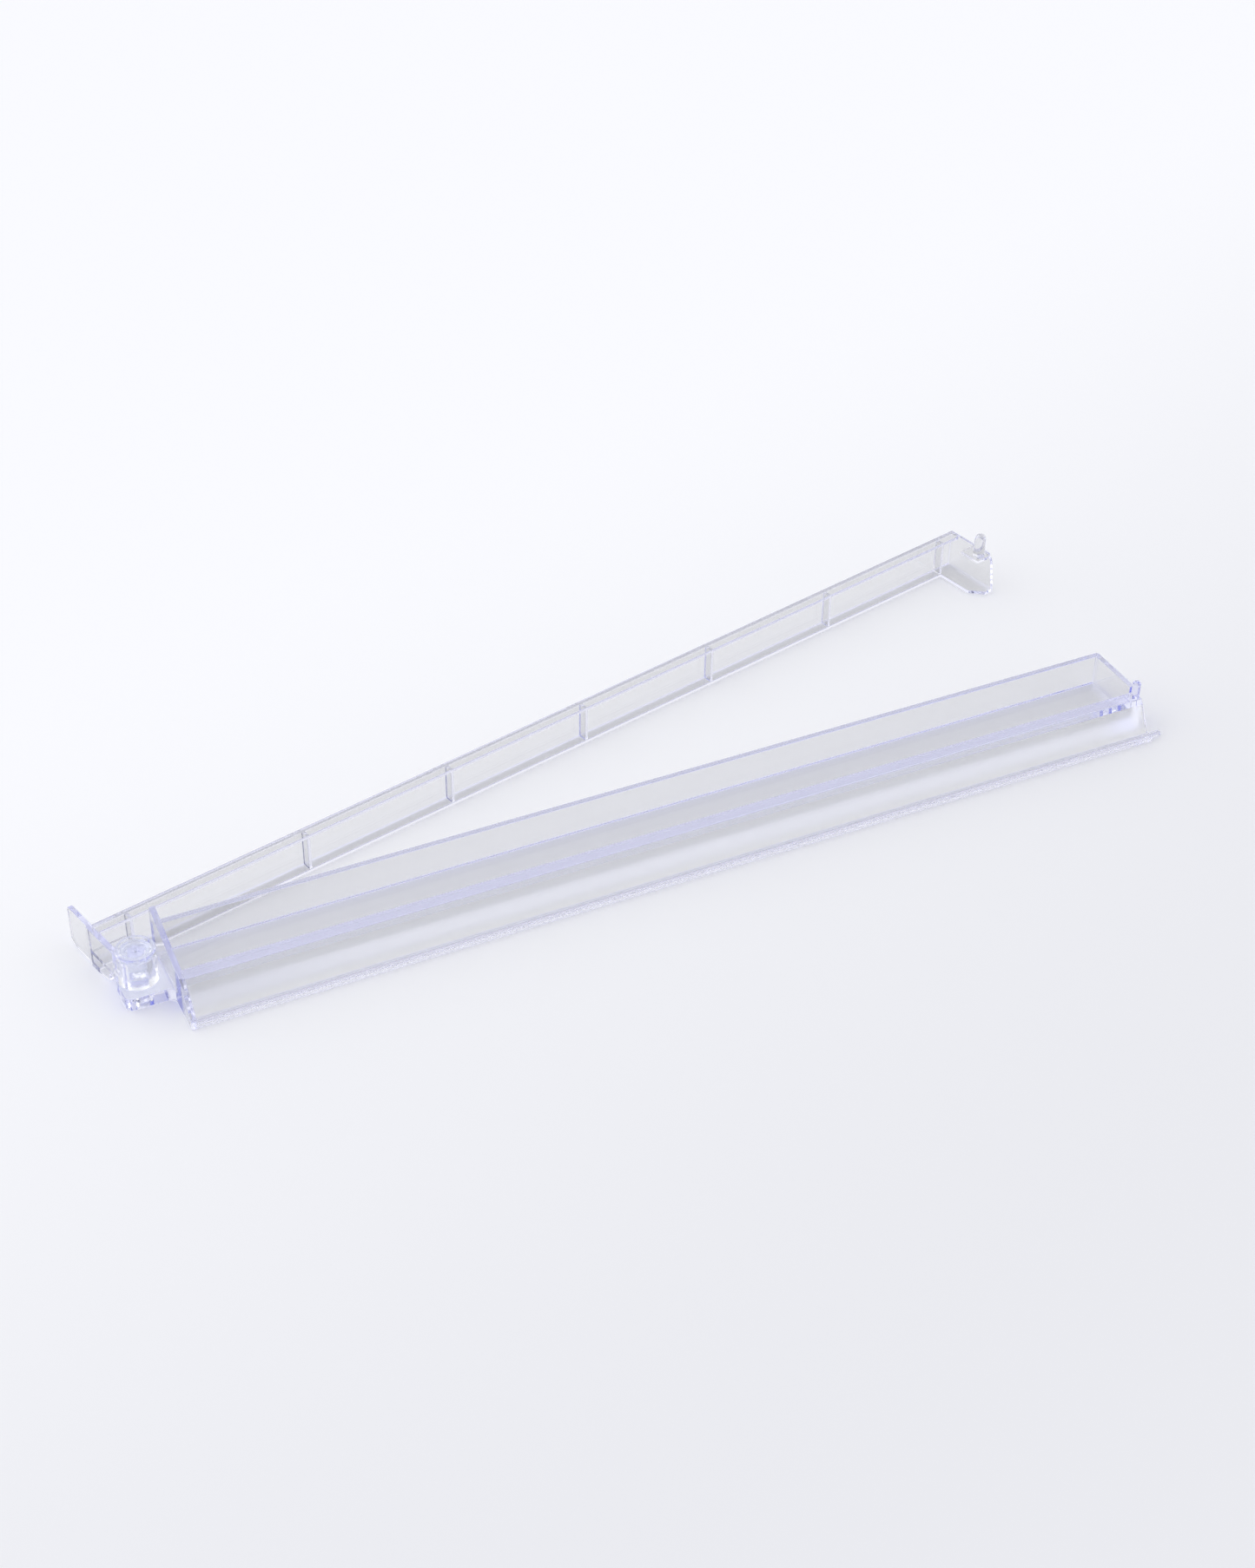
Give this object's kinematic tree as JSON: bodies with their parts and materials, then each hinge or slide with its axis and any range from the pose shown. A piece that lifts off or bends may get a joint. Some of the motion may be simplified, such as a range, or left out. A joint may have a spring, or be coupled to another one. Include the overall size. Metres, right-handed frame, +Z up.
{
  "type": "tile rack with pusher arm",
  "caption": "Long clear plastic rack with a tile ramp, a trough and a hinged pusher arm that swings out from behind it on a pivot at the left end.",
  "frame": {"origin": "centre of the rack's flat underside, on the table", "axes": "+X along the rack away from the hinge, +Y from the player's side to the pusher side, +Z up"},
  "size_m": [0.5046, 0.172, 0.0333],
  "materials": {
    "rack_plastic": "clear with a faint violet tint, polished",
    "arm_plastic": "clear with a faint violet tint, polished",
    "pin_plastic": "clear, polished"
  },
  "bodies": {
    "rack": {"front_lip": "rack_plastic", "tile_ledge": "rack_plastic", "tile_ramp": "rack_plastic", "trough_ridge": "rack_plastic", "trough_floor": "rack_plastic", "back_wall": "rack_plastic", "left_end_plate": "rack_plastic", "right_end_wall": "rack_plastic", "ridge_post": "rack_plastic", "corner_peg": "rack_plastic", "pivot_tab": "rack_plastic", "pivot_pin": "pin_plastic"},
    "arm": {"hub_barrel": "arm_plastic", "hinge_web": "arm_plastic", "hinge_leg": "arm_plastic", "finger_tab": "arm_plastic", "arm_face": "arm_plastic", "arm_top_flange": "arm_plastic", "arm_bottom_flange": "arm_plastic", "hinge_rib": "arm_plastic", "arm_rib_1": "arm_plastic", "arm_rib_2": "arm_plastic", "arm_rib_3": "arm_plastic", "arm_rib_4": "arm_plastic", "arm_rib_5": "arm_plastic", "elbow_rib": "arm_plastic", "leg_wall": "arm_plastic", "leg_foot": "arm_plastic", "leg_top": "arm_plastic", "knob": "arm_plastic"}
  },
  "joints": [
    {"name": "arm_swing", "type": "hinge", "parent": "rack", "child": "arm", "pos_m": [-0.2464, 0.008, 0.0145], "axis": [0, 0, 1], "range_deg": [-13.3, 76.7]}
  ]
}
